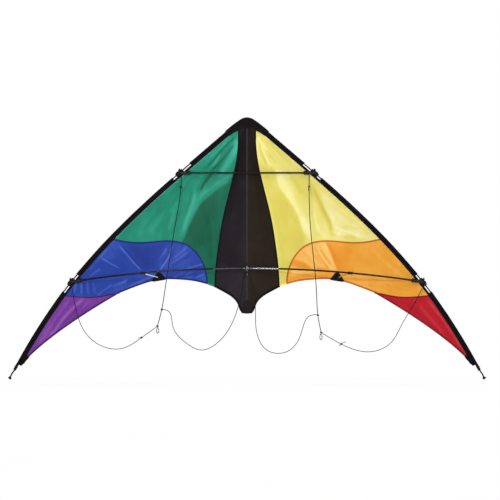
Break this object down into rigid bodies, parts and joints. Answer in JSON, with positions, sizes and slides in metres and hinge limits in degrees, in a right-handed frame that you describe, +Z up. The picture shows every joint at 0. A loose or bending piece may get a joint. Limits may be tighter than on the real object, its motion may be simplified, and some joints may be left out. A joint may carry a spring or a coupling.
{
  "type": "delta kite",
  "caption": "Two-line delta kite with a swept sail in coloured panels, a rod frame with spreaders and stand-offs, and a slack bridle; its wings fold back about the spine.",
  "frame": {"origin": "the centre T, on the front plane of the sail, midway between the wings", "axes": "+Z up along the spine towards the nose, +X across the span towards the right wing as seen from the flyer's side, +Y from the bridle side to the back of the sail"},
  "size_m": [1.4284, 0.0922, 0.7859],
  "materials": {
    "rod_black": "gloss",
    "rod_pale": "gloss",
    "ferrule_tube": "satin",
    "vinyl_black": "satin",
    "fitting_black": "satin",
    "patch_black": "matte",
    "webbing_black": "matte",
    "sleeve_black": "matte",
    "sail_black": "satin",
    "sail_green": "satin",
    "sail_yellow": "satin",
    "sail_blue": "satin",
    "sail_orange": "satin",
    "sail_purple": "satin",
    "sail_red": "satin",
    "cord_black": "matte"
  },
  "bodies": {
    "spine_group": {"spine_rod": "rod_black", "spine_nose_cap": "vinyl_black", "spine_tail_cap": "vinyl_black", "spine_sleeve": "sleeve_black", "tail_strap": "webbing_black", "nose_webbing": "webbing_black", "centre_t": "fitting_black"},
    "wing_left": {"le_upper_rod_left": "rod_black", "le_lower_rod_left": "rod_black", "le_ferrule_left": "ferrule_tube", "le_sleeve_left": "sleeve_black", "nose_flap_left": "webbing_black", "centre_panel_left": "sail_black", "upper_panel_left": "sail_green", "middle_panel_left": "sail_blue", "tip_panel_left": "sail_purple", "upper_connector_left": "fitting_black", "lower_connector_left": "fitting_black", "tip_cap_left": "vinyl_black", "tip_cord_left": "cord_black", "lower_spreader_left": "rod_black", "standoff_clip_left": "fitting_black", "standoff_left": "rod_pale", "standoff_patch_left": "patch_black", "bridle_upper_leg_left": "cord_black"},
    "wing_right": {"le_upper_rod_right": "rod_black", "le_lower_rod_right": "rod_black", "le_ferrule_right": "ferrule_tube", "le_sleeve_right": "sleeve_black", "nose_flap_right": "webbing_black", "centre_panel_right": "sail_black", "upper_panel_right": "sail_yellow", "middle_panel_right": "sail_orange", "tip_panel_right": "sail_red", "upper_connector_right": "fitting_black", "lower_connector_right": "fitting_black", "tip_cap_right": "vinyl_black", "tip_cord_right": "cord_black", "lower_spreader_right": "rod_black", "standoff_clip_right": "fitting_black", "standoff_right": "rod_pale", "standoff_patch_right": "patch_black", "bridle_upper_leg_right": "cord_black", "upper_spreader": "rod_black"},
    "outer_leg_left": {"bridle_outer_leg_left": "cord_black"},
    "outer_leg_right": {"bridle_outer_leg_right": "cord_black"},
    "inner_leg_left": {"bridle_inner_leg_left": "cord_black"},
    "inner_leg_right": {"bridle_inner_leg_right": "cord_black"},
    "tow_loop_left": {"tow_loop_left": "cord_black"},
    "tow_loop_right": {"tow_loop_right": "cord_black"}
  },
  "joints": [
    {"name": "wing_left_fold", "type": "hinge", "parent": "spine_group", "child": "wing_left", "pos_m": [0, 0.0045, 0], "axis": [0, 0, -1], "range_deg": [0, 70]},
    {"name": "wing_right_fold", "type": "hinge", "parent": "spine_group", "child": "wing_right", "pos_m": [0, 0.0045, 0], "axis": [0, 0, 1], "range_deg": [0, 70]},
    {"name": "outer_leg_left_swing", "type": "hinge", "parent": "wing_left", "child": "outer_leg_left", "pos_m": [-0.268, -0.023, -0.173], "axis": [-0.9115, 0.0482, 0.4085], "range_deg": [-12, 60]},
    {"name": "outer_leg_right_swing", "type": "hinge", "parent": "wing_right", "child": "outer_leg_right", "pos_m": [0.222, -0.023, -0.192], "axis": [-0.9139, -0.0409, -0.404], "range_deg": [-12, 60]},
    {"name": "inner_leg_left_swing", "type": "hinge", "parent": "wing_left", "child": "inner_leg_left", "pos_m": [-0.255, -0.023, -0.123], "axis": [-0.9093, -0.0405, -0.4142], "range_deg": [-5, 60]},
    {"name": "inner_leg_right_swing", "type": "hinge", "parent": "wing_right", "child": "inner_leg_right", "pos_m": [0.212, -0.023, -0.14], "axis": [-0.8434, 0.0455, 0.5354], "range_deg": [-5, 60]},
    {"name": "tow_loop_left_swing", "type": "hinge", "parent": "wing_left", "child": "tow_loop_left", "pos_m": [-0.268, -0.023, -0.173], "axis": [-1, 0, 0], "range_deg": [-40, 60]},
    {"name": "tow_loop_right_swing", "type": "hinge", "parent": "wing_right", "child": "tow_loop_right", "pos_m": [0.222, -0.023, -0.192], "axis": [-1, 0, 0], "range_deg": [-40, 60]}
  ]
}
